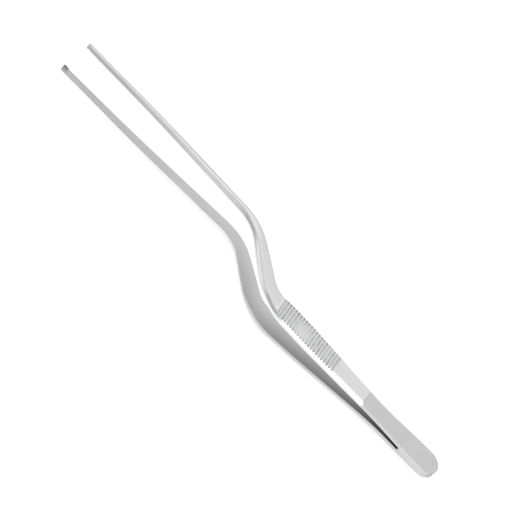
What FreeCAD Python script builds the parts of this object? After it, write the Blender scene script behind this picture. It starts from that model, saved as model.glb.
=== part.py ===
"""Offset tissue forceps: two sprung steel arms joined at the tail by a thin wedge.

The forceps lie on the back of the lower arm.  X runs from the tail to the tips, the shafts are
offset towards -Y, and Z is up.  The origin is under the middle of the whole part.

Each arm is first made in a frame of its own: its inner face along the handle is the plane Z = 0,
its outer face looks along +Z, X starts at the tail end and the handle lies along Y = 0.
"""
import FreeCAD, Part
import math
import os

from FreeCAD import Placement, Rotation, Vector

SIZES = [
    # Plan of the arm
    ("overall_length", 200.0, "tail end to tip, along the handle"),
    ("offset", 22.4, "sideways step from the handle axis to the root of the shaft"),
    ("bend_start", 81.6, "place where the first bend leaves the handle axis"),
    ("first_bend_radius", 18.0, "axis radius of the bend at the handle"),
    ("second_bend_radius", 18.0, "axis radius of the bend at the shaft"),
    ("ramp_angle", 48.0, "angle of the ramp between the two bends, degrees"),
    ("shaft_angle", 1.1, "outward angle of the shaft against the handle, degrees"),
    ("tail_round_length", 5.6, "length of the half ellipse that ends the tail"),
    # Widths and where they are measured
    ("tail_width", 10.5, "widest part of the tail"),
    ("tail_widest", 7.0, "place of the widest part of the tail"),
    ("waist_width", 8.3, "narrow part between tail and grip"),
    ("waist", 31.0, "place of the waist"),
    ("grip_width", 10.95, "widest part of the grip"),
    ("grip_widest", 72.0, "place of the widest part of the grip"),
    ("bend_root_width", 10.6, "start of the first bend"),
    ("bend_width", 8.1, "middle of the first bend"),
    ("ramp_width", 6.7, "middle of the ramp"),
    ("second_bend_width", 4.75, "middle of the second bend"),
    ("shaft_root_width", 3.95, "root of the straight shaft"),
    ("shaft_middle_width", 3.5, "a third of the way along the shaft"),
    ("tip_width", 2.7, "end of the shaft"),
    # Thicknesses
    ("tail_thickness", 1.25, "flat plate of the tail"),
    ("grip_thickness", 2.1, "grip and bends, inner face to outer face"),
    ("shaft_root_thickness", 2.08, "root of the straight shaft"),
    ("tip_thickness", 1.45, "end of the shaft"),
    ("grip_edge", 1.15, "height of the upright edge under the grip bevel"),
    ("grip_bevel", 0.9, "width of the bevel along the grip"),
    ("tip_bevel", 0.6, "length of the bevel on the back of the tip"),
    # Round back of the shaft, as shares of its thickness and width
    ("shaft_edge_share", 0.24, "upright edge, share of the thickness"),
    ("shaft_crown_share", 0.2, "rise of the crown over its shoulders, share of the thickness"),
    ("shaft_bulge_share", 0.038, "bulge of the rounded sides, share of the width"),
    # Spring set of the arm: face angles to the middle plane in degrees, and their turns
    ("tail_splay", 1.5, "angle of the tail face"),
    ("handle_splay", 3.1, "angle of the handle face"),
    ("shaft_splay", 2.5, "angle of the shaft face"),
    ("tip_splay", 0.45, "angle of the tip face"),
    ("waist_turn", 27.0, "place where the tail face turns into the handle face"),
    ("waist_turn_reach", 6.0, "half of the length that this turn is spread over"),
    ("bend_turn", 114.0, "place where the handle face turns into the shaft face"),
    ("bend_turn_reach", 12.0, "half of the length that this turn is spread over"),
    ("shaft_turn", 164.0, "place where the shaft face turns into the tip face"),
    ("shaft_turn_reach", 14.0, "half of the length that this turn is spread over"),
    # Step between tail plate and grip
    ("step_foot", 36.7, "end of the flat tail plate"),
    ("step_run", 1.6, "length of the hollow rise to the grip"),
    # Wedge between the tails
    ("wedge_end_thickness", 0.28, "thickness at the tail end"),
    ("throat", 16.6, "place of the blunt end, at the bottom of the slot"),
    # Cross grooves of the grip
    ("groove_count", 22, "number of grooves on each arm"),
    ("groove_first", 55.0, "place of the groove nearest to the tail"),
    ("groove_pitch", 1.39, "distance from groove to groove"),
    ("groove_radius", 0.5, "radius of the round groove"),
    ("groove_depth", 0.38, "depth under the grip face"),
    # Teeth
    ("tooth_height", 0.9, "height of the teeth over the inner face"),
    ("pair_length", 2.4, "length of the block that carries the two teeth"),
    ("pair_ridge", 1.0, "length of the level ridge of the two teeth"),
    ("pair_spread", 1.6, "distance between the points of the two teeth"),
    ("single_length", 0.95, "length of the single tooth at its root"),
    ("single_ridge", 0.35, "length of the level ridge of the single tooth"),
    ("single_width", 1.4, "width of the single tooth at its root"),
    ("hollow_radius", 0.6, "radius of the hollow behind the single tooth"),
    ("hollow_depth", 0.45, "depth of that hollow in the inner face"),
]

OVERRUN = 2.0      # the blank runs this far past the tail end and the tip
DEPTH = 6.0        # how far the blank reaches past the inner face before it is trimmed
PROUD = 0.12       # the blank stands this much over the flat faces that are ground on it
SLIGHT = 0.01      # bulge of an edge that is all but straight, and play under the grip plane
SPAN = 60.0        # half width of the trimming forms, wider than the part
HEADROOM = 6.0     # top of the side form over the shaft, clear of the shaft
TOOTH_ROOT = 0.3   # how deep the teeth are rooted in the arm
TOOTH_SPAN = 4.0   # half length of the forms that the teeth are cut from


def make_sheet(document):
    """Write the driving dimensions into a sheet, one named cell each."""
    sheet = document.addObject("Spreadsheet::Sheet", "sizes")
    for number, (name, size, note) in enumerate(SIZES, start=1):
        sheet.set("A%d" % number, name)
        sheet.set("B%d" % number, str(size))
        sheet.set("C%d" % number, note)
        sheet.setAlias("B%d" % number, name)
    document.recompute()
    return sheet


doc = FreeCAD.newDocument("offset_tissue_forceps")
sizes = make_sheet(doc)


def slope(angle):
    """Rise per length of a face at an angle in degrees."""
    return math.tan(math.radians(angle))


def mix(first, second, share):
    """Value between two others."""
    return first + (second - first) * share


# Side view of the arm: the inner face is straight stretches with soft turns between them.
# Each turn is its place, the change of slope there and half the length it is spread over.
TURNS = [
    (sizes.waist_turn, slope(sizes.tail_splay - sizes.handle_splay), sizes.waist_turn_reach),
    (sizes.bend_turn, slope(sizes.shaft_splay - sizes.handle_splay), sizes.bend_turn_reach),
    (sizes.shaft_turn, slope(sizes.tip_splay - sizes.shaft_splay), sizes.shaft_turn_reach),
]


def inner_height(place):
    """Height of the inner face at a place along X, in the arm's own frame."""
    waist, change, reach = TURNS[0]
    height = -change * max(waist - place, 0.0)
    if abs(place - waist) < reach:
        height = -change * (waist + reach - place) ** 2 / (4 * reach)
    for turn, change, reach in TURNS[1:]:
        if place > turn + reach:
            height += change * (place - turn)
        elif place > turn - reach:
            height += change * (place - turn + reach) ** 2 / (4 * reach)
    return height


# Plan of the arm's axis: a straight handle, a bend, a straight ramp, the bend back, the shaft.
RAMP = math.radians(sizes.ramp_angle)
SHAFT = math.radians(sizes.shaft_angle)
FIRST_DROP = sizes.first_bend_radius * (1 - math.cos(RAMP))
SECOND_DROP = sizes.second_bend_radius * (math.cos(SHAFT) - math.cos(RAMP))
RAMP_LENGTH = (sizes.offset - FIRST_DROP - SECOND_DROP) / math.sin(RAMP)
RAMP_START = sizes.bend_start + sizes.first_bend_radius * RAMP
RAMP_END = RAMP_START + RAMP_LENGTH
SHAFT_START = RAMP_END + sizes.second_bend_radius * (RAMP - SHAFT)


def axis_point(place):
    """Point of the arm's axis in plan and its heading, at a length along the axis."""
    first = sizes.first_bend_radius
    second = sizes.second_bend_radius
    point = Vector(min(place, sizes.bend_start), 0, 0)
    heading = 0.0
    if place > sizes.bend_start:
        heading = -min((place - sizes.bend_start) / first, RAMP)
        point += Vector(-first * math.sin(heading), -first * (1 - math.cos(heading)), 0)
    if place > RAMP_START:
        run = min(place - RAMP_START, RAMP_LENGTH)
        point += Vector(math.cos(RAMP), -math.sin(RAMP), 0) * run
    if place > RAMP_END:
        heading = -max(RAMP - (place - RAMP_END) / second, SHAFT)
        along = second * (math.sin(RAMP) + math.sin(heading))
        sideways = second * (math.cos(heading) - math.cos(RAMP))
        point += Vector(along, -sideways, 0)
    if place > SHAFT_START:
        run = place - SHAFT_START
        point += Vector(math.cos(SHAFT), -math.sin(SHAFT), 0) * run
    return point, heading


RAMP_X = axis_point(RAMP_START)[0].x
SHAFT_ROOT_X = axis_point(SHAFT_START)[0].x
TIP = SHAFT_START + (sizes.overall_length - SHAFT_ROOT_X) / math.cos(SHAFT)

# Sections at chosen lengths along the axis, with smooth change between them: the length,
# the width, the height of the crown, and how round the back is, from 0 (bevelled) to 1.
GRIP_TOP = sizes.grip_thickness + PROUD
BEND_TOP = sizes.grip_thickness - SLIGHT
SHAFT_MIDDLE_THICKNESS = mix(sizes.shaft_root_thickness, sizes.tip_thickness, 0.35)
KEYS = [
    (-OVERRUN, sizes.tail_width, GRIP_TOP, 0.0),
    (sizes.tail_widest, sizes.tail_width, GRIP_TOP, 0.0),
    (sizes.waist, sizes.waist_width, GRIP_TOP, 0.0),
    (mix(sizes.waist, sizes.grip_widest, 0.5),
     mix(sizes.waist_width, sizes.grip_width, 0.5), GRIP_TOP, 0.0),
    (sizes.grip_widest, sizes.grip_width, GRIP_TOP, 0.0),
    (sizes.bend_start, sizes.bend_root_width, GRIP_TOP, 0.0),
    (mix(sizes.bend_start, RAMP_START, 0.5), sizes.bend_width, BEND_TOP, 0.15),
    (mix(RAMP_START, RAMP_END, 0.5), sizes.ramp_width, BEND_TOP, 0.35),
    (mix(RAMP_END, SHAFT_START, 0.5), sizes.second_bend_width, BEND_TOP, 0.75),
    (SHAFT_START, sizes.shaft_root_width, sizes.shaft_root_thickness, 1.0),
    (mix(SHAFT_START, TIP, 1 / 3), sizes.shaft_middle_width, SHAFT_MIDDLE_THICKNESS, 1.0),
    (TIP + OVERRUN, sizes.tip_width, sizes.tip_thickness, 1.0),
]


def steady_slope(before, here, after, item):
    """Slope of a size at a key, level where the size turns back."""
    if before is here or after is here:
        return 0.0
    rise_in = (here[item] - before[item]) / (here[0] - before[0])
    rise_out = (after[item] - here[item]) / (after[0] - here[0])
    if rise_in * rise_out <= 0:
        return 0.0
    return 2 * rise_in * rise_out / (rise_in + rise_out)


def between_keys(place):
    """Width, crown and roundness at a length along the axis, on smooth curves."""
    last = len(KEYS) - 1
    index = 0
    while index < last - 1 and place > KEYS[index + 1][0]:
        index += 1
    near = KEYS[index]
    far = KEYS[index + 1]
    before = KEYS[max(index - 1, 0)]
    after = KEYS[min(index + 2, last)]
    run = far[0] - near[0]
    share = min(max((place - near[0]) / run, 0.0), 1.0)
    values = []
    for item in range(1, len(near)):
        start = steady_slope(before, near, far, item) * run
        end = steady_slope(near, far, after, item) * run
        rise = far[item] - near[item]
        bend = 3 * rise - 2 * start - end
        twist = start + end - 2 * rise
        values.append(near[item] + share * (start + share * (bend + share * twist)))
    return values


def line(start, end):
    """Straight edge between two points."""
    return Part.LineSegment(start, end).toShape()


def section(place):
    """Closed outline of the blank, square to the axis, at a length along the axis."""
    width, crown, roundness = between_keys(place)
    half = width / 2
    edge = mix(sizes.grip_edge, crown * sizes.shaft_edge_share, roundness)
    shoulder = half - mix(sizes.grip_bevel + PROUD, half / 2, roundness)
    fall = mix(PROUD, crown * sizes.shaft_crown_share, roundness)
    bulge = mix(SLIGHT, width * sizes.shaft_bulge_share, roundness)
    point, heading = axis_point(place)
    across = Vector(-math.sin(heading), math.cos(heading), 0)
    level = inner_height(point.x)

    def at(sideways, height):
        return point + across * sideways + Vector(0, 0, height)

    def rounded_side(side):
        low = at(side * half, level + edge)
        high = at(side * shoulder, level + crown - fall)
        chord = high - low
        outward = across * (side * chord.z) - Vector(0, 0, side * chord.dot(across))
        return low, mix(low, high, 0.5) + outward.normalize() * bulge, high

    left_low, left_middle, left_high = rounded_side(1)
    right_low, right_middle, right_high = rounded_side(-1)
    return Part.Wire([
        line(at(-half, -DEPTH), at(half, -DEPTH)),
        line(at(half, -DEPTH), left_low),
        Part.Arc(left_low, left_middle, left_high).toShape(),
        Part.Arc(left_high, at(0, level + crown), right_high).toShape(),
        Part.Arc(right_high, right_middle, right_low).toShape(),
        line(right_low, at(-half, -DEPTH)),
    ])


def make_blank():
    """Forged blank of the arm: one smooth body through evenly spread sections."""
    stretches = [
        (-OVERRUN, sizes.bend_start, 16),
        (sizes.bend_start, RAMP_START, 4),
        (RAMP_START, RAMP_END, 4),
        (RAMP_END, SHAFT_START, 4),
        (SHAFT_START, TIP + OVERRUN, 18),
    ]
    places = []
    for start, end, count in stretches:
        places += [mix(start, end, step / count) for step in range(count)]
    places.append(TIP + OVERRUN)
    blank = doc.addObject("Part::Feature", "arm_blank")
    blank.Shape = Part.makeLoft([section(place) for place in places], True, False)
    return blank


def extrude_face(name, wire, direction, reach):
    """Straight form: a face pulled both ways along a direction."""
    outline = doc.addObject("Part::Feature", name + "_outline")
    outline.Shape = Part.Face(wire)
    form = doc.addObject("Part::Extrusion", name)
    form.Base = outline
    form.DirMode = "Custom"
    form.Dir = direction
    form.LengthFwd = reach
    form.LengthRev = reach
    form.Solid = True
    return form


def side_point(place, height):
    """Point of a side view, in the plane Y = 0."""
    return Vector(place, 0, height)


def soft_turn(turn, raise_by):
    """Curve along one turn of the inner face, raised by a height, with its two ends."""
    place, _, reach = turn
    start = side_point(place - reach, inner_height(place - reach) + raise_by)
    end = side_point(place + reach, inner_height(place + reach) + raise_by)
    slope_before = inner_height(place - reach) - inner_height(place - reach - 1)
    curve = Part.BezierCurve()
    curve.setPoles([start, start + Vector(reach, 0, slope_before * reach), end])
    return curve.toShape(), start, end


def make_side_form():
    """Side view of the finished arm: inner face, tip, grip face, step and tail plate."""
    grip = sizes.grip_thickness
    plate = sizes.tail_thickness
    tip_x = sizes.overall_length
    tip_level = inner_height(tip_x)
    tip_back = tip_level + sizes.tip_thickness
    step_top = sizes.step_foot + sizes.step_run
    start = side_point(-OVERRUN, inner_height(-OVERRUN))
    tail_top = start + Vector(0, 0, plate)

    edges = []
    here = start
    for turn in TURNS:
        curve, curve_start, curve_end = soft_turn(turn, 0.0)
        edges += [line(here, curve_start), curve]
        here = curve_end
    corners = [
        here,
        side_point(tip_x, tip_level),
        side_point(tip_x, tip_back - sizes.tip_bevel),
        side_point(tip_x - sizes.tip_bevel, tip_back),
        side_point(tip_x - sizes.tip_bevel, HEADROOM),
        side_point(SHAFT_ROOT_X, HEADROOM),
        side_point(RAMP_X, grip),
        side_point(step_top, grip),
    ]
    edges += [line(corner, following) for corner, following in zip(corners, corners[1:])]
    step = Part.BezierCurve()
    step.setPoles([
        side_point(step_top, grip),
        side_point(mix(sizes.step_foot, step_top, 0.5), plate),
        side_point(sizes.step_foot, plate),
    ])
    plate_turn, turn_start, turn_end = soft_turn(TURNS[0], plate)
    edges += [
        step.toShape(),
        line(side_point(sizes.step_foot, plate), turn_end),
        plate_turn,
        line(turn_start, tail_top),
        line(tail_top, start),
    ]
    return extrude_face("side_form", Part.Wire(Part.__sortEdges__(edges)), Vector(0, 1, 0), SPAN)


def make_tail_form():
    """Plan of the rounded tail end, open towards the tips."""
    length = sizes.tail_round_length
    half = sizes.tail_width / 2
    circle = Part.makeCircle(1.0, Vector(0, 0, 0), Vector(0, 0, 1), 90, 270)
    stretch = FreeCAD.Matrix()
    stretch.scale(length, half, 1.0)
    stretch.move(Vector(length, 0, 0))
    end_round = circle.transformGeometry(stretch).Edges[0]
    far_x = sizes.overall_length + SPAN
    corners = [
        Vector(length, -half, 0),
        Vector(length, -SPAN, 0),
        Vector(far_x, -SPAN, 0),
        Vector(far_x, SPAN, 0),
        Vector(length, SPAN, 0),
        Vector(length, half, 0),
    ]
    edges = [line(corner, following) for corner, following in zip(corners, corners[1:])]
    wire = Part.Wire(Part.__sortEdges__(edges + [end_round]))
    return extrude_face("tail_form", wire, Vector(0, 0, 1), SPAN)


def boolean(kind, name, base, tool):
    """Named boolean of two objects."""
    result = doc.addObject(kind, name)
    result.Base = base
    result.Tool = tool
    return result


def turned_over(name, source):
    """The form as the lower arm has it, with the grip face on the plane Z = 0."""
    result = doc.addObject("Part::Mirroring", name)
    result.Source = source
    result.Normal = Vector(0, 0, 1)
    result.Base = Vector(0, 0, sizes.grip_thickness / 2)
    return result


def make_grooves():
    """Round cross grooves, cut square to the handle into the grip face."""
    cutters = []
    for number in range(round(sizes.groove_count)):
        cutter = doc.addObject("Part::Cylinder", "groove_%02d" % (number + 1))
        cutter.Placement = Placement(Vector(0, 0, 0), Rotation(Vector(1, 0, 0), 90))
        cutter.setExpression("Radius", "sizes.groove_radius")
        cutter.setExpression("Height", "2 * sizes.grip_width")
        cutter.setExpression(
            "Placement.Base.x", "sizes.groove_first + %d * sizes.groove_pitch" % number)
        cutter.setExpression("Placement.Base.y", "sizes.grip_width")
        cutter.setExpression(
            "Placement.Base.z",
            "sizes.grip_thickness + sizes.groove_radius - sizes.groove_depth")
        cutters.append(cutter)
    grooves = doc.addObject("Part::Compound", "grooves")
    grooves.Links = cutters
    return grooves


# The teeth stand on the inner face at the tip, so they are drawn from that place.
TIP_Y = axis_point(TIP)[0].y
TIP_SLOPE = slope(sizes.tip_splay - sizes.handle_splay)


def tip_point(back, sideways, height):
    """Point near the tip: back along the shaft, sideways, and out of the inner face."""
    place = sizes.overall_length - back
    return Vector(place, TIP_Y + back * math.tan(SHAFT) + sideways, inner_height(place) - height)


def make_tooth(name, front_view, side_view):
    """Tooth with a given front view (sideways, height) and side view (back, height)."""
    front_points = [tip_point(0, sideways, height) for sideways, height in front_view]
    front_wire = Part.makePolygon(front_points + front_points[:1])
    backwards = Vector(-1, math.tan(SHAFT), -TIP_SLOPE)
    side_points = [tip_point(back, 0, height) for back, height in side_view]
    side_wire = Part.makePolygon(side_points + side_points[:1])
    front = extrude_face(name + "_front", front_wire, backwards, TOOTH_SPAN)
    side = extrude_face(name + "_side", side_wire, Vector(0, 1, 0), TOOTH_SPAN)
    return boolean("Part::Common", name, front, side)


def tooth_side_view(length, ridge):
    """Side view of a tooth: upright front, level ridge and a back that slopes down."""
    over = 1.2 * sizes.tooth_height
    return [(0, -TOOTH_ROOT), (0, over), (ridge, over), (length, 0), (length, -TOOTH_ROOT)]


def make_tooth_pair():
    """Two pointed teeth side by side with a V between them."""
    root = 0.49 * sizes.tip_width
    point = sizes.pair_spread / 2
    tall = sizes.tooth_height
    foot = 0.15 * tall
    front_view = [(-root, -TOOTH_ROOT), (-root, foot), (-point, tall), (0, 0), (point, tall),
                  (root, foot), (root, -TOOTH_ROOT)]
    side_view = tooth_side_view(sizes.pair_length, sizes.pair_ridge)
    return make_tooth("tooth_pair", front_view, side_view)


def make_single_tooth():
    """One pointed tooth that drops between the two of the other arm."""
    root = sizes.single_width / 2
    front_view = [(-root, -TOOTH_ROOT), (-root, 0), (0, sizes.tooth_height), (root, 0),
                  (root, -TOOTH_ROOT)]
    side_view = tooth_side_view(sizes.single_length, sizes.single_ridge)
    return make_tooth("single_tooth", front_view, side_view)


def make_hollow():
    """Round hollow behind the single tooth, which gives it its hooked back."""
    cutter = doc.addObject("Part::Cylinder", "hook_hollow")
    back = sizes.single_length + sizes.hollow_radius / 2
    centre = tip_point(back, 2 * sizes.tip_width, sizes.hollow_radius - sizes.hollow_depth)
    cutter.Placement = Placement(centre, Rotation(Vector(1, 0, 0), 90))
    cutter.setExpression("Radius", "sizes.hollow_radius")
    cutter.setExpression("Height", "4 * sizes.tip_width")
    return cutter


# The middle plane between the arms, seen from the side in the frame of the finished part.
SPLAY = math.radians(sizes.handle_splay)
MIDDLE_NORMAL = Vector(-math.sin(SPLAY), 0, math.cos(SPLAY))
MIDDLE_POINT = side_point(
    0, sizes.grip_thickness - inner_height(0) + sizes.wedge_end_thickness / 2)


def lower_inner(place):
    """Point of the lower arm's inner face in the frame of the finished part."""
    return side_point(place, sizes.grip_thickness - inner_height(place))


def across_middle(point):
    """The same point of the other arm."""
    return point + MIDDLE_NORMAL * (2 * (MIDDLE_POINT - point).dot(MIDDLE_NORMAL))


def make_wedge_form():
    """Side view of the filler between the tails, thin at the end and blunt at the throat."""
    start = lower_inner(-OVERRUN)
    end = lower_inner(sizes.throat)
    corners = [start, end, across_middle(end), across_middle(start), start]
    return extrude_face("wedge_form", Part.makePolygon(corners), Vector(0, 1, 0), SPAN)


def upper_tilt():
    """Turn that carries an arm from its own frame to the upper side of the middle plane."""
    level = sizes.grip_thickness / 2
    centre = side_point((level - MIDDLE_POINT.z) / math.tan(SPLAY), level)
    return Placement(Vector(0, 0, 0), Rotation(Vector(0, -1, 0), 2 * sizes.handle_splay), centre)


def make_pieces():
    """The three pieces of the forceps: lower arm, upper arm and the wedge between them."""
    blank = make_blank()
    tail_form = make_tail_form()
    bare_arm = doc.addObject("Part::MultiCommon", "bare_arm")
    bare_arm.Shapes = [blank, make_side_form(), tail_form]
    arm = boolean("Part::Cut", "grooved_arm", bare_arm, make_grooves())

    lower = boolean("Part::Fuse", "lower_arm", turned_over("turned_arm", arm),
                    turned_over("turned_teeth", make_tooth_pair()))
    toothed = boolean("Part::Fuse", "toothed_arm", arm, make_single_tooth())
    upper = boolean("Part::Cut", "upper_arm", toothed, make_hollow())
    wedge = doc.addObject("Part::MultiCommon", "tail_wedge")
    wedge.Shapes = [turned_over("turned_blank", blank), make_wedge_form(), tail_form]
    return lower, upper, wedge


def place_pieces(pieces):
    """Tilt the upper arm into place and put the origin under the middle of the part."""
    upper = pieces[1]
    upper.Placement = upper_tilt()
    doc.recompute()
    box = FreeCAD.BoundBox()
    for piece in pieces:
        box.add(piece.Shape.optimalBoundingBox(False))
    to_middle = Placement(Vector(-box.Center.x, -box.Center.y, -box.ZMin), Rotation())
    for piece in pieces:
        piece.Placement = to_middle.multiply(piece.Placement)
    doc.recompute()


def check_objects():
    """Stop if any object of the document failed to build."""
    for item in doc.Objects:
        if "Invalid" in item.State or "Error" in item.State:
            raise RuntimeError("%s did not build" % item.Name)


def export(pieces):
    """Check each piece and write it to a file that carries its name."""
    os.makedirs("parts", exist_ok=True)
    for piece in pieces:
        piece.Label = piece.Name
        shape = piece.Shape
        if shape.isNull() or not shape.isValid() or len(shape.Solids) != 1:
            raise RuntimeError("%s is not one valid solid" % piece.Label)
    for piece in pieces:
        piece.Shape.Solids[0].exportStep("parts/%s.step" % piece.Label)
        print(piece.Label, round(piece.Shape.Volume, 2), "mm3")


forceps = make_pieces()
place_pieces(forceps)
check_objects()
export(forceps)
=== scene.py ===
"""Looks of the offset tissue forceps: satin steel, pale floor, soft studio light and camera."""

import math

import bmesh
import bpy
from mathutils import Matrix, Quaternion, Vector


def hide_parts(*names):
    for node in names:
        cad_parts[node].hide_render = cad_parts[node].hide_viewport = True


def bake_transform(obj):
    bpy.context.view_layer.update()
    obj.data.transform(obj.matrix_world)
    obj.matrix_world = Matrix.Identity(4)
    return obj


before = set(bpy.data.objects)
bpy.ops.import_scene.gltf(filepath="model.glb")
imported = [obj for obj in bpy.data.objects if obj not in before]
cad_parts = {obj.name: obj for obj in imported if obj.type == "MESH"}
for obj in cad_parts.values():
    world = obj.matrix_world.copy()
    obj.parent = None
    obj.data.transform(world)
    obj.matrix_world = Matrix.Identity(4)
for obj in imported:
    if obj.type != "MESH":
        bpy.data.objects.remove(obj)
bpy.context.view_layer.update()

# Camera of the photograph: what it looks at, from where, and how it is rolled
AIM = Vector((0.00204, -0.00237, 0.01020))
AZIMUTH = 171.87
ELEVATION = 43.0
ROLL = 47.83
DISTANCE = 3.0
SENSOR = 36.0
LENS = 577.6

# Floor, and how bright the surroundings are as light and as background
FLOOR_SIZE = 6.0
FLOOR_TONE = 0.9
FLOOR_ROUGHNESS = 0.9
FLOOR_GLOW = 0.45
LIGHT_STRENGTH = 0.7
BACKGROUND_STRENGTH = 1.0

# The surroundings are open on the side that the picture is taken from, so darker in the steel
OPEN_SIDE = (0.50, 0.60, 0.62)
OPEN_SPAN = (0.5, 0.95)
OPEN_TONE = 0.60

# Places along the forceps, in metres from the middle, and the height of the handle's axis
STEP_X = -0.0625
GROOVES_START = -0.0458
BEND_X = -0.017
GROOVES_END = -0.0152
SHAFT_X = 0.018
TEETH_X = 0.0976
TIP_X = 0.0985
HANDLE_Y = 0.00995
TEETH_Y = -0.01405

# Where the upper arm flexes: from the throat to the root of the grip
WELD_END = Vector((-0.083, HANDLE_Y, 0.0))
FLEX_END = Vector((-0.045, HANDLE_Y, 0.0))
FLEX_CUTS = 24
CUT_TOLERANCE = 1e-7
REST_PLACE = "rest_place"
REST_FACING = "rest_facing"

# Grip faces: a point of the lower one, and the way each looks
LOWER_GRIP = (0.0, 0.0, 0.00008)
LOWER_NORMAL = (0.0, 0.0, -1.0)
UPPER_TILT = math.radians(6.2)
UPPER_NORMAL = (-math.sin(UPPER_TILT), 0.0, math.cos(UPPER_TILT))

# The way that the near side of the ramp between the bends looks
RAMP_SIDE = (0.6, 0.8, 0.0)

# Tones of the back of an arm from tail to shaft, and of its inner face from the shaft to the tip
TAIL_TONE = 0.575
# The grip's back is set brighter than the tail's as painted light
GRIP_TONE = 0.70
RAMP_TONE = 0.635
SHAFT_TONE = 0.60
INNER_TONES = (0.555, 0.50)

# Tones of the ground edges of each arm, at the grip, the root of the shaft and the tip: the upper
# arm's grip edge is raised as a painted highlight, the lower arm's are lower as painted shade on
# its downward-facing edges
UPPER_EDGES_AND_HIGHLIGHT = (0.84, 0.70, 0.54)
LOWER_EDGES_AND_SHADE = (0.62, 0.56, 0.50)

# Tone of the edges of the tail, and the brightest that an edge is on the far and the near side:
# far-side edges are held darker as painted shade
TAIL_EDGE = 0.62
EDGE_SHADE_LIMITS = (0.62, 1.0)

# Factors on these tones: single ones, then pairs for the painted light and shade on the far and
# near side of the ramp between the bends, for the low and high values of a noise, and how strong
# the teeth's painted shade is across them
# Painted light that brightens the hollow rise between tail plate and grip
RISE_PAINTED_LIGHT = 1.14
# Painted shade on the far side of the round shaft
FAR_SIDE_SHADE = 0.62
# Painted shade on the near shoulder at the first bend
SHOULDER_SHADE = 0.72
# Painted shade on the flanks of the teeth
TEETH_SHADE = 0.60
GROOVES_FACTOR = 1.10
BLUE_FACTOR = 1.01
# Painted light on the far side and a dimmed highlight on the near side of the ramp's back
RAMP_LIGHT_AND_SHADE = (1.14, 0.90)
PATCH_FACTORS = (0.6, 1.4)
CLOUD_FACTORS = (0.97, 1.02)
SPOT_FACTORS = (1.0, 0.90)
# How strong the teeth's painted shade is from the far tooth to the near one
TEETH_SHADE_SHARES = (1.0, 0.2)

# Wear of the grooves: where the fingers have rubbed, and how dark the groove floors are, with dirt
# and painted shade
WORN_X = -0.0285
WORN_Y = 0.0112
WORN_REACH = 0.006
WORN_FADES = (0.2, 1.0)
WORN_DIRT_AND_SHADE = 0.02
GROOVE_DIRT_AND_SHADE = 0.30
GROOVE_END_DIRT_AND_SHADE = 0.26

# Surface: tint at grazing angles, roughness of beaded and ground faces, and the beaded grain
GRAZING_TONE = 0.45
BEADED_ROUGHNESS = (0.36, 0.42)
GROUND_ROUGHNESS = 0.35
GRAIN_STRENGTH = 0.12
GRAIN_DEPTH = 0.00004

# Scale and detail of each noise, and the part of its range that shows
PATCHES = (600.0, 2.0)
PATCH_SPAN = (0.35, 0.65)
CLOUDS = (70.0, 4.0)
CLOUD_SPAN = (0.3, 0.7)
SPOTS = (900.0, 2.0)
SPOT_SPAN = (0.68, 0.78)
GRAIN = (7000.0, 2.0)

# Where along the arm the looks change: from the first value to the second
AT_STEP = (STEP_X - 0.0004, STEP_X + 0.0004)
RISE_BEGINS = (STEP_X - 0.0011, STEP_X - 0.0007)
RISE_ENDS = (STEP_X + 0.0007, STEP_X + 0.0011)
GROOVES_BEGIN = (GROOVES_START - 0.0003, GROOVES_START + 0.0003)
GROOVES_STOP = (GROOVES_END - 0.0003, GROOVES_END + 0.0003)
VALLEYS_STOP = (BEND_X, BEND_X + 0.002)
INTO_BEND = (BEND_X - 0.004, BEND_X + 0.012)
RAMP_BEGINS = (BEND_X - 0.004, BEND_X + 0.008)
SHADE_BEGINS = (BEND_X - 0.004, BEND_X + 0.001)
SHADE_ENDS = (BEND_X + 0.006, BEND_X + 0.013)
LINE_BEGINS = (BEND_X + 0.007, BEND_X + 0.013)
LINE_ENDS = (SHAFT_X - 0.015, SHAFT_X - 0.009)
INTO_SHAFT = (SHAFT_X - 0.01, SHAFT_X + 0.01)
FAR_SIDE_BEGINS = (SHAFT_X - 0.004, SHAFT_X + 0.016)
RAMP_ENDS = (SHAFT_X, SHAFT_X + 0.02)
AT_TEETH = (TEETH_X, TEETH_X + 0.0002)
ACROSS_TEETH = (TEETH_Y - 0.0007, TEETH_Y + 0.0005)

# The same for the depth under the grip face, and for the distance from the handle's axis
SHADE_TOP = (0.00010, 0.00030)
SHADE_BOTTOM = (0.00075, 0.00100)
LINE_TOP = (0.00048, 0.00060)
LINE_BOTTOM = (0.00095, 0.00110)
VALLEY_DEPTH = (0.00012, 0.00034)
GROOVE_ENDS = (0.0032, 0.0046)

# The same for the way a face looks: out of the grip, to one side or either, to the ramp's side
FACES_BACK = (0.05, 0.35)
FACES_FLAT_OUT = (0.94, 0.995)
FACES_OFF_INNER = (-0.97, -0.90)
FACES_OUT = (-0.1, 0.1)
FACES_FAR = (-0.75, -0.2)
FACES_NEAR = (-0.2, 0.2)
FACES_SIDEWAYS = (0.25, 0.55)
FACES_BEVEL = (0.3, 0.5)
LEANS_NEAR = (0.3, 0.5)
LEANS = (-0.35, 0.35)


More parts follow.
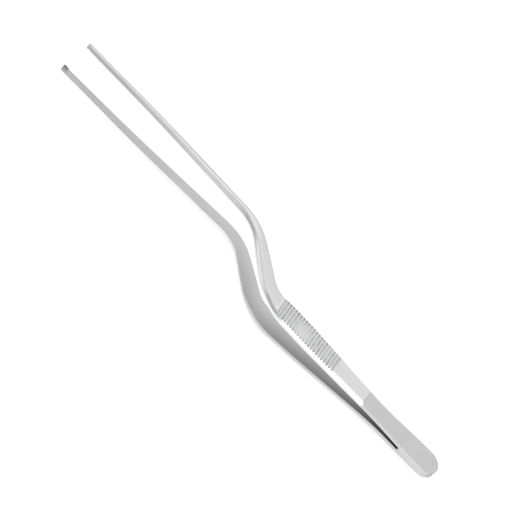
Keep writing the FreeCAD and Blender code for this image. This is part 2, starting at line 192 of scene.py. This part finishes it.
class Nodes:
    """Short ways to add shader nodes to one material."""

    def __init__(self, name):
        self.material = bpy.data.materials.new(name)
        self.material.use_nodes = True
        self.tree = self.material.node_tree
        self.tree.nodes.clear()
        output = self.add("ShaderNodeOutputMaterial")
        self.shader = self.add("ShaderNodeBsdfPrincipled")
        self.link(self.shader.outputs["BSDF"], output.inputs["Surface"])

    def add(self, kind, **settings):
        node = self.tree.nodes.new(kind)
        for name, value in settings.items():
            setattr(node, name, value)
        return node

    def link(self, source, target):
        self.tree.links.new(source, target)

    def fill(self, socket, value):
        if isinstance(value, bpy.types.NodeSocket):
            self.link(value, socket)
        else:
            socket.default_value = value

    def math(self, operation, first, second=0.0):
        node = self.add("ShaderNodeMath", operation=operation)
        self.fill(node.inputs[0], first)
        self.fill(node.inputs[1], second)
        return node.outputs[0]

    def product(self, *factors):
        result = factors[0]
        for factor in factors[1:]:
            result = self.math("MULTIPLY", result, factor)
        return result

    def ramp(self, value, span, start=0.0, end=1.0):
        """Smooth change from start to end while value goes through the span."""
        node = self.add("ShaderNodeMapRange", interpolation_type="SMOOTHSTEP")
        for name, number in zip(("From Min", "From Max", "To Min", "To Max"), (*span, start, end)):
            node.inputs[name].default_value = number
        self.link(value, node.inputs["Value"])
        return node.outputs["Result"]

    def fall(self, value, span):
        """1 before the span and 0 after it."""
        return self.ramp(value, span, 1.0, 0.0)

    def between(self, value, begins, ends):
        """1 from the end of the first span to the start of the second, and 0 outside both."""
        return self.product(self.ramp(value, begins), self.fall(value, ends))

    def mix(self, share, first, second):
        node = self.add("ShaderNodeMix", data_type="FLOAT")
        self.fill(node.inputs[0], share)
        self.fill(node.inputs[2], first)
        self.fill(node.inputs[3], second)
        return node.outputs[0]

    def noise(self, vector, scale, detail):
        node = self.add("ShaderNodeTexNoise")
        node.inputs["Scale"].default_value = scale
        node.inputs["Detail"].default_value = detail
        self.link(vector, node.inputs["Vector"])
        return node.outputs["Fac"]

    def dot(self, vector, direction):
        node = self.add("ShaderNodeVectorMath", operation="DOT_PRODUCT")
        self.link(vector, node.inputs[0])
        node.inputs[1].default_value = direction
        return node.outputs["Value"]

    def split(self, vector):
        node = self.add("ShaderNodeSeparateXYZ")
        self.link(vector, node.inputs[0])
        return node.outputs[0], node.outputs[1], node.outputs[2]


class Steel(Nodes):
    """Glass-beaded steel of an arm, whose grip face has a known point and outward normal.

    The edge tones are those of its ground edges at the grip, at the root of the shaft and at the
    tip; the upper arm's hold a painted highlight and the lower arm's painted shade. An arm that
    flexes carries the places and normals that it has at rest.
    """

    def __init__(self, name, grip_point, grip_normal, edge_tones, flexes=False):
        super().__init__(name)
        if flexes:
            places = self.add("ShaderNodeAttribute", attribute_name=REST_PLACE)
            normals = self.add("ShaderNodeAttribute", attribute_name=REST_FACING)
            self.place = places.outputs["Vector"]
            facing = normals.outputs["Vector"]
        else:
            coordinates = self.add("ShaderNodeTexCoord")
            self.place = coordinates.outputs["Object"]
            facing = coordinates.outputs["Normal"]
        self.x, self.y = self.split(self.place)[:2]
        grip_level = Vector(grip_point).dot(Vector(grip_normal))
        self.depth = self.math("SUBTRACT", grip_level, self.dot(self.place, grip_normal))
        self.out = self.dot(facing, grip_normal)
        self.lean = self.dot(facing, RAMP_SIDE)
        self.facing_y = self.split(facing)[1]
        self.sideways = self.math("ABSOLUTE", self.facing_y)
        self.side = self.ramp(self.sideways, FACES_SIDEWAYS)
        self.back = self.ramp(self.out, FACES_BACK)
        self.past_step = self.ramp(self.x, AT_STEP)

        tone = self.product(self.faces(edge_tones), self.rise(), self.far_side_shade())
        tone = self.ramp_light_and_shade(tone)
        tone = self.product(tone, self.teeth(), self.grooves())
        self.cover(tone)

    def factor(self, share, value):
        """The value where the share is 1, and 1 where it is 0."""
        return self.mix(share, 1.0, value)

    def faces(self, edge_tones):
        """Tail plate and inner face satin, the back brighter, the edges ground; the grip's
        brighter back is painted light, and the edges hold a painted highlight on the upper grip
        and painted shade on the far side and the lower arm.
        """
        back = self.ramp(self.x, INTO_BEND, GRIP_TONE, RAMP_TONE)
        back = self.mix(self.ramp(self.x, INTO_SHAFT), back, SHAFT_TONE)
        back = self.mix(self.past_step, TAIL_TONE, back)
        shaft = (SHAFT_X, TIP_X)
        inner = self.ramp(self.x, shaft, *INNER_TONES)
        grip_edge, shaft_edge, tip_edge = edge_tones
        shaft_edges = self.ramp(self.x, shaft, shaft_edge, tip_edge)
        edges = self.mix(self.ramp(self.x, (BEND_X, SHAFT_X)), grip_edge, shaft_edges)
        # Edges that look to the far side are held darker: painted shade
        edges = self.math("MINIMUM", edges, self.ramp(self.facing_y, FACES_NEAR, *EDGE_SHADE_LIMITS))
        edges = self.mix(self.past_step, TAIL_EDGE, edges)
        return self.mix(self.side, self.mix(self.back, inner, back), edges)

    def rise(self):
        """Painted light on the hollow rise between tail plate and grip, so that it is hardly
        darker than they are.
        """
        along = self.between(self.x, RISE_BEGINS, RISE_ENDS)
        share = self.product(along, self.back, self.fall(self.out, FACES_FLAT_OUT))
        return self.factor(share, RISE_PAINTED_LIGHT)

    def far_side_shade(self):
        """Painted shade on the side of the round shaft that looks away from the light."""
        share = self.product(
            self.fall(self.facing_y, FACES_FAR), self.ramp(self.x, FAR_SIDE_BEGINS))
        return self.factor(share, FAR_SIDE_SHADE)

    def ramp_light_and_shade(self, tone):
        """Painted light and shade on the ramp between the bends: its back's shading evened out, a
        painted dark shoulder at the first bend and a painted highlight line on the near edge after
        it.
        """
        along = self.between(self.x, RAMP_BEGINS, RAMP_ENDS)
        # Painted light on the far side of the back, and the near side's highlight dimmed
        shading_evened = self.factor(
            self.product(along, self.back), self.ramp(self.lean, LEANS, *RAMP_LIGHT_AND_SHADE))
        near = self.ramp(self.lean, LEANS_NEAR)
        # Painted shade on the near shoulder at the first bend
        shade = self.product(
            near,
            self.between(self.depth, SHADE_TOP, SHADE_BOTTOM),
            self.between(self.x, SHADE_BEGINS, SHADE_ENDS))
        # Painted highlight: a bright line along the near edge of the ramp
        highlight_line = self.product(
            near,
            along,
            self.between(self.depth, LINE_TOP, LINE_BOTTOM),
            self.between(self.x, LINE_BEGINS, LINE_ENDS))
        tone = self.product(tone, shading_evened, self.factor(shade, SHOULDER_SHADE))
        return self.mix(highlight_line, tone, 1.0)

    def teeth(self):
        """Painted shade on the flanks and ridges of the teeth, strongest on the far tooth."""
        share = self.product(
            self.ramp(self.x, AT_TEETH),
            self.ramp(self.y, ACROSS_TEETH, *TEETH_SHADE_SHARES),
            self.ramp(self.out, FACES_OFF_INNER),
            self.fall(self.out, FACES_OUT))
        return self.factor(share, TEETH_SHADE)

    def grooves(self):
        """Polished ridges, and groove floors darkened by dirt and painted shade, except where the
        fingers rub.
        """
        along = self.between(self.x, GROOVES_BEGIN, GROOVES_STOP)
        ridges = self.factor(self.product(along, self.back), GROOVES_FACTOR)
        offsets = [
            self.math("DIVIDE", self.math("SUBTRACT", place, middle), WORN_REACH)
            for place, middle in ((self.x, WORN_X), (self.y, WORN_Y))]
        squares = [self.math("POWER", offset, 2.0) for offset in offsets]
        away = self.math("SQRT", self.math("ADD", *squares))
        dirt_and_shade = self.ramp(away, WORN_FADES, WORN_DIRT_AND_SHADE, GROOVE_DIRT_AND_SHADE)
        patches = self.ramp(self.noise(self.place, *PATCHES), PATCH_SPAN, *PATCH_FACTORS)
        to_edge = self.math("ABSOLUTE", self.math("SUBTRACT", self.y, HANDLE_Y))
        at_end = self.ramp(to_edge, GROOVE_ENDS, 0.0, GROOVE_END_DIRT_AND_SHADE)
        dirt_and_shade = self.math("ADD", self.product(dirt_and_shade, patches), at_end)
        # Groove floors darkened with depth: dirt and painted shade in the hollows
        valley = self.product(
            self.ramp(self.depth, VALLEY_DEPTH),
            self.fall(self.sideways, FACES_BEVEL),
            self.fall(self.x, VALLEYS_STOP),
            self.past_step,
            self.back)
        return self.product(ridges, self.math("SUBTRACT", 1.0, self.product(valley, dirt_and_shade)))

    def cover(self, tone):
        """Cloudy handling marks, sparse small spots and the bead-blasted grain."""
        cloud = self.noise(self.place, *CLOUDS)
        clouds = self.ramp(cloud, CLOUD_SPAN, *CLOUD_FACTORS)
        spots = self.ramp(self.noise(self.place, *SPOTS), SPOT_SPAN, *SPOT_FACTORS)
        tone = self.product(tone, clouds, spots)
        colour = self.add("ShaderNodeCombineColor")
        self.link(tone, colour.inputs["Red"])
        self.link(tone, colour.inputs["Green"])
        self.link(self.product(tone, BLUE_FACTOR), colour.inputs["Blue"])
        self.link(colour.outputs["Color"], self.shader.inputs["Base Color"])
        self.shader.inputs["Metallic"].default_value = 1.0
        self.shader.inputs["Specular Tint"].default_value = (*[GRAZING_TONE] * 3, 1.0)
        beaded = self.ramp(cloud, CLOUD_SPAN, *BEADED_ROUGHNESS)
        roughness = self.mix(self.side, beaded, GROUND_ROUGHNESS)
        self.link(roughness, self.shader.inputs["Roughness"])
        bump = self.add("ShaderNodeBump")
        bump.inputs["Strength"].default_value = GRAIN_STRENGTH
        bump.inputs["Distance"].default_value = GRAIN_DEPTH
        self.link(self.noise(self.place, *GRAIN), bump.inputs["Height"])
        self.link(bump.outputs["Normal"], self.shader.inputs["Normal"])


def background_share(tree):
    """1 for the rays that see the background: camera, glossy and transmission rays."""
    path = tree.nodes.new("ShaderNodeLightPath")
    seen = path.outputs["Is Camera Ray"]
    for name in ("Is Glossy Ray", "Is Transmission Ray"):
        either = tree.nodes.new("ShaderNodeMath")
        either.operation = "MAXIMUM"
        tree.links.new(seen, either.inputs[0])
        tree.links.new(path.outputs[name], either.inputs[1])
        seen = either.outputs[0]
    return seen


def floor_material():
    """Pale floor: white for camera and steel, with a faint shadow kept."""
    nodes = Nodes("floor_paint")
    nodes.shader.inputs["Base Color"].default_value = (*[FLOOR_TONE] * 3, 1.0)
    nodes.shader.inputs["Roughness"].default_value = FLOOR_ROUGHNESS
    nodes.shader.inputs["Emission Color"].default_value = (1.0, 1.0, 1.0, 1.0)
    glow = nodes.product(background_share(nodes.tree), FLOOR_GLOW)
    nodes.link(glow, nodes.shader.inputs["Emission Strength"])
    return nodes.material


def add_to_scene(name, data):
    """A new object that holds the data, in the scene."""
    item = bpy.data.objects.new(name, data)
    bpy.context.scene.collection.objects.link(item)
    return item


def make_floor():
    """Wide level floor under the forceps."""
    mesh = bpy.data.meshes.new("floor")
    shape = bmesh.new()
    bmesh.ops.create_grid(shape, x_segments=1, y_segments=1, size=FLOOR_SIZE)
    shape.to_mesh(mesh)
    shape.free()
    mesh.materials.append(floor_material())
    floor = add_to_scene("floor", mesh)


def make_world():
    """White surroundings, a little dimmer as light than as background."""
    world = bpy.data.worlds.new("studio")
    bpy.context.scene.world = world
    world.use_nodes = True
    tree = world.node_tree
    background = tree.nodes["Background"]
    background.inputs["Color"].default_value = (1.0, 1.0, 1.0, 1.0)
    strength = tree.nodes.new("ShaderNodeMapRange")
    strength.inputs["To Min"].default_value = LIGHT_STRENGTH
    strength.inputs["To Max"].default_value = BACKGROUND_STRENGTH
    tree.links.new(background_share(tree), strength.inputs["Value"])

    # Only reflections show the open side
    coordinates = tree.nodes.new("ShaderNodeTexCoord")
    towards = tree.nodes.new("ShaderNodeVectorMath")
    towards.operation = "DOT_PRODUCT"
    towards.inputs[1].default_value = OPEN_SIDE
    tree.links.new(coordinates.outputs["Generated"], towards.inputs[0])
    opening = tree.nodes.new("ShaderNodeMapRange")
    opening.interpolation_type = "SMOOTHSTEP"
    opening.inputs["From Min"].default_value, opening.inputs["From Max"].default_value = OPEN_SPAN
    opening.inputs["To Min"].default_value = 1.0
    opening.inputs["To Max"].default_value = OPEN_TONE
    tree.links.new(towards.outputs["Value"], opening.inputs["Value"])
    path = tree.nodes.new("ShaderNodeLightPath")
    reflected = tree.nodes.new("ShaderNodeMix")
    reflected.data_type = "FLOAT"
    reflected.inputs[2].default_value = 1.0
    tree.links.new(path.outputs["Is Glossy Ray"], reflected.inputs[0])
    tree.links.new(opening.outputs["Result"], reflected.inputs[3])
    total = tree.nodes.new("ShaderNodeMath")
    total.operation = "MULTIPLY"
    tree.links.new(strength.outputs["Result"], total.inputs[0])
    tree.links.new(reflected.outputs[0], total.inputs[1])
    tree.links.new(total.outputs[0], background.inputs["Strength"])


def make_lamp(name, place, size, power, aim):
    """Soft square lamp that looks at its aim."""
    light = bpy.data.lights.new(name, "AREA")
    light.shape = "SQUARE"
    light.size = size
    light.energy = power
    lamp = add_to_scene(name, light)
    lamp.location = place
    lamp.rotation_mode = "QUATERNION"
    lamp.rotation_quaternion = (Vector(aim) - Vector(place)).to_track_quat("-Z", "Y")
    lamp.visible_camera = False


def make_camera():
    """Camera at the photograph's angle."""
    turn = math.radians(AZIMUTH)
    lift = math.radians(ELEVATION)
    back = Vector((
        math.sin(turn) * math.cos(lift),
        -math.cos(turn) * math.cos(lift),
        math.sin(lift),
    ))
    lens = bpy.data.cameras.new("camera")
    lens.sensor_width = SENSOR
    lens.lens = LENS
    camera = add_to_scene("camera", lens)
    camera.location = AIM + back * DISTANCE
    camera.rotation_mode = "QUATERNION"
    level = (-back).to_track_quat("-Z", "Y")
    camera.rotation_quaternion = level @ Quaternion((0, 0, 1), math.radians(ROLL))
    bpy.context.scene.camera = camera


def cut_upper_arm(mesh):
    """Fill the mesh with the upper arm, cut across where it flexes. Returns its vertex normals."""
    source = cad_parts["upper_arm"].data
    shape = bmesh.new()
    shape.from_mesh(source)
    kept = shape.verts.layers.float_vector.new("kept_normal")
    for face in shape.faces:
        for corner in face.loops:
            corner.vert[kept] = source.corner_normals[corner.index].vector
    for number in range(FLEX_CUTS + 1):
        bmesh.ops.bisect_plane(
            shape,
            geom=shape.verts[:] + shape.edges[:] + shape.faces[:],
            plane_co=WELD_END.lerp(FLEX_END, number / FLEX_CUTS),
            plane_no=(1, 0, 0),
            dist=CUT_TOLERANCE,
        )
    normals = [vert[kept].normalized() for vert in shape.verts]
    shape.verts.layers.float_vector.remove(kept)
    shape.to_mesh(mesh)
    shape.free()
    return normals


def make_upper_arm(material):
    """The upper arm once more, which bends from the welded tail to the moving grip."""
    mesh = bpy.data.meshes.new("upper_arm_sprung")
    normals = cut_upper_arm(mesh)
    mesh.normals_split_custom_set_from_vertices(normals)
    places = [vert.co for vert in mesh.vertices]
    for name, vectors in ((REST_PLACE, places), (REST_FACING, normals)):
        layer = mesh.attributes.new(name, "FLOAT_VECTOR", "POINT")
        layer.data.foreach_set("vector", [number for vector in vectors for number in vector])
    mesh.materials.append(material)
    arm = add_to_scene("upper_arm_sprung", mesh)
    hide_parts("upper_arm")
    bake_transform(arm)


def upper_grip_point():
    """The point of the upper arm that lies furthest out, within the length of the grip."""
    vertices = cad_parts["upper_arm"].data.vertices
    grip = [vertex.co for vertex in vertices if STEP_X < vertex.co.x < BEND_X]
    return max(grip, key=Vector(UPPER_NORMAL).dot)


def dress(node, material):
    """Give a CAD node its material."""
    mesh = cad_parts[node].data
    mesh.materials.clear()
    mesh.materials.append(material)


bpy.context.scene.view_settings.view_transform = "Standard"
upper_steel = Steel("upper_steel", upper_grip_point(), UPPER_NORMAL, UPPER_EDGES_AND_HIGHLIGHT, flexes=True)
make_upper_arm(upper_steel.material)
dress("lower_arm", Steel("lower_steel", LOWER_GRIP, LOWER_NORMAL, LOWER_EDGES_AND_SHADE).material)
dress("tail_wedge", Steel("wedge_steel", LOWER_GRIP, LOWER_NORMAL, LOWER_EDGES_AND_SHADE).material)
make_floor()
make_world()
make_lamp("key", place=(0.0, -0.2, 1.5), size=1.2, power=3.0, aim=AIM)
make_lamp("near", place=(-0.16, 0.29, 0.27), size=0.12, power=0.07, aim=(-0.04, 0.01, 0.01))
make_camera()
